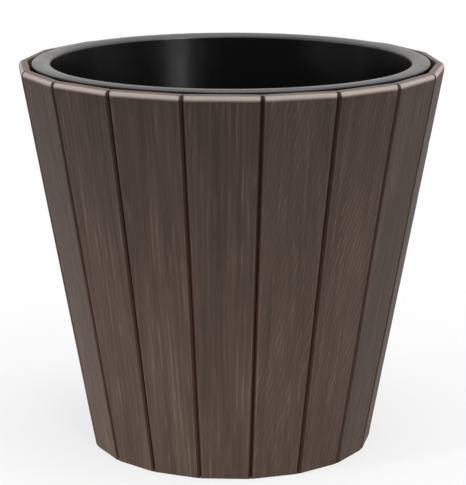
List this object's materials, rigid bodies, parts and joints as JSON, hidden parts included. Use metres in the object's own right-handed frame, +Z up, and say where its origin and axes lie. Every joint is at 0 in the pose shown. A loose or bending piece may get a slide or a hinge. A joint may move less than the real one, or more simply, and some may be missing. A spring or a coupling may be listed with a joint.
{
  "type": "planter",
  "caption": "Round tapered planter of flat upright wood-grain boards with V-grooved joints, held by inner hoops on a slatted base, with a lift-out black liner pot.",
  "frame": {"origin": "on the ground, on the axis of the tub", "axes": "+Z up along the axis of the tub; -Y towards the middle of stave_01, which faces the viewer; +X to the viewer's right"},
  "size_m": [0.4012, 0.396, 0.37],
  "materials": {
    "stave_board": "matt brown board with fine upright grain",
    "base_board": "matt brown sawn board",
    "hoop_metal": "dull galvanised steel",
    "screw_metal": "zinc plated",
    "liner_plastic": "satin black moulded plastic"
  },
  "bodies": {
    "tub": {"stave_01": "stave_board", "stave_02": "stave_board", "stave_03": "stave_board", "stave_04": "stave_board", "stave_05": "stave_board", "stave_06": "stave_board", "stave_07": "stave_board", "stave_08": "stave_board", "stave_09": "stave_board", "stave_10": "stave_board", "stave_11": "stave_board", "stave_12": "stave_board", "stave_13": "stave_board", "stave_14": "stave_board", "stave_15": "stave_board", "stave_16": "stave_board", "stave_17": "stave_board", "stave_18": "stave_board", "upper_hoop": "hoop_metal", "upper_hoop_screws": "screw_metal", "lower_hoop": "hoop_metal", "lower_hoop_screws": "screw_metal", "base_slat_1": "base_board", "base_slat_2": "base_board", "base_slat_3": "base_board", "base_slat_4": "base_board", "base_slat_5": "base_board", "base_screws": "screw_metal"},
    "liner": {"liner": "liner_plastic"}
  },
  "joints": [
    {"name": "liner_lift", "type": "slide", "parent": "tub", "child": "liner", "axis": [0, 0, 1], "range_m": [0, 0.36]}
  ]
}
